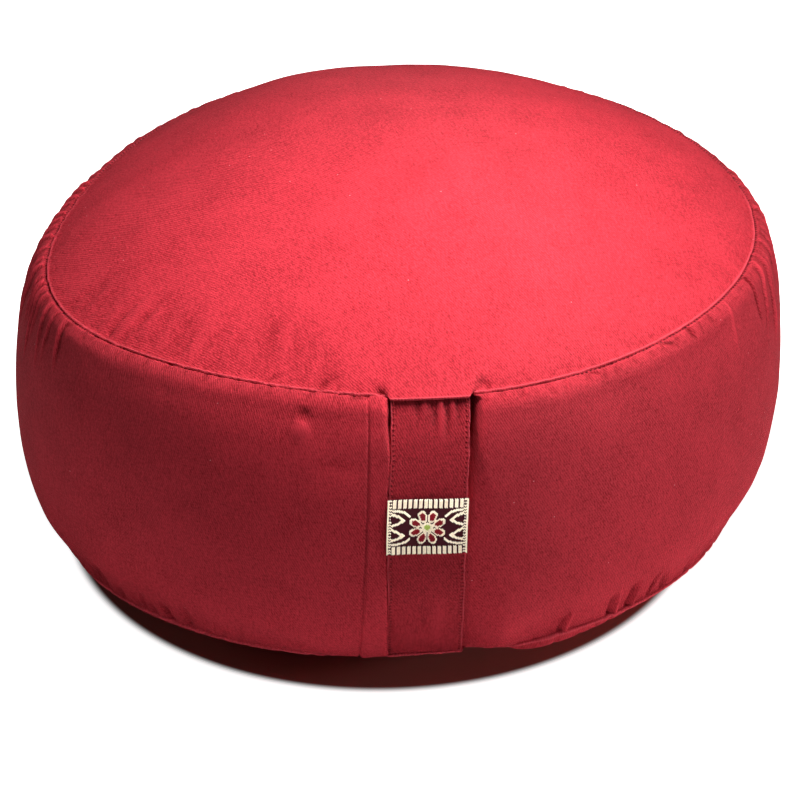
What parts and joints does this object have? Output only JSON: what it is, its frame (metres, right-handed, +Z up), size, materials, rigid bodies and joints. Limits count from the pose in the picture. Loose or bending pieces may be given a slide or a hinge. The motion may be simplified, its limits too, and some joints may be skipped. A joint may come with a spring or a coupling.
{
  "type": "zafu meditation cushion",
  "caption": "Round hull-filled meditation cushion with a crowned top, a full side band, a carry strap sewn into both seams and a patch of woven ribbon.",
  "frame": {"origin": "on the surface that the cushion rests on, under the middle of the object's box", "axes": "+Z up through the crown, -Y towards the carry strap, +X to the right of someone who looks at the strap"},
  "size_m": [0.3592, 0.3627, 0.1908],
  "materials": {
    "red_twill": "matte cotton twill",
    "strap_twill": "matte cotton twill, folded and edge-stitched",
    "woven_ribbon": "figured ribbon in cream, red and plum"
  },
  "bodies": {
    "root": {"cushion": "red_twill", "carry_strap": "strap_twill", "ribbon_patch": "woven_ribbon"}
  },
  "joints": []
}
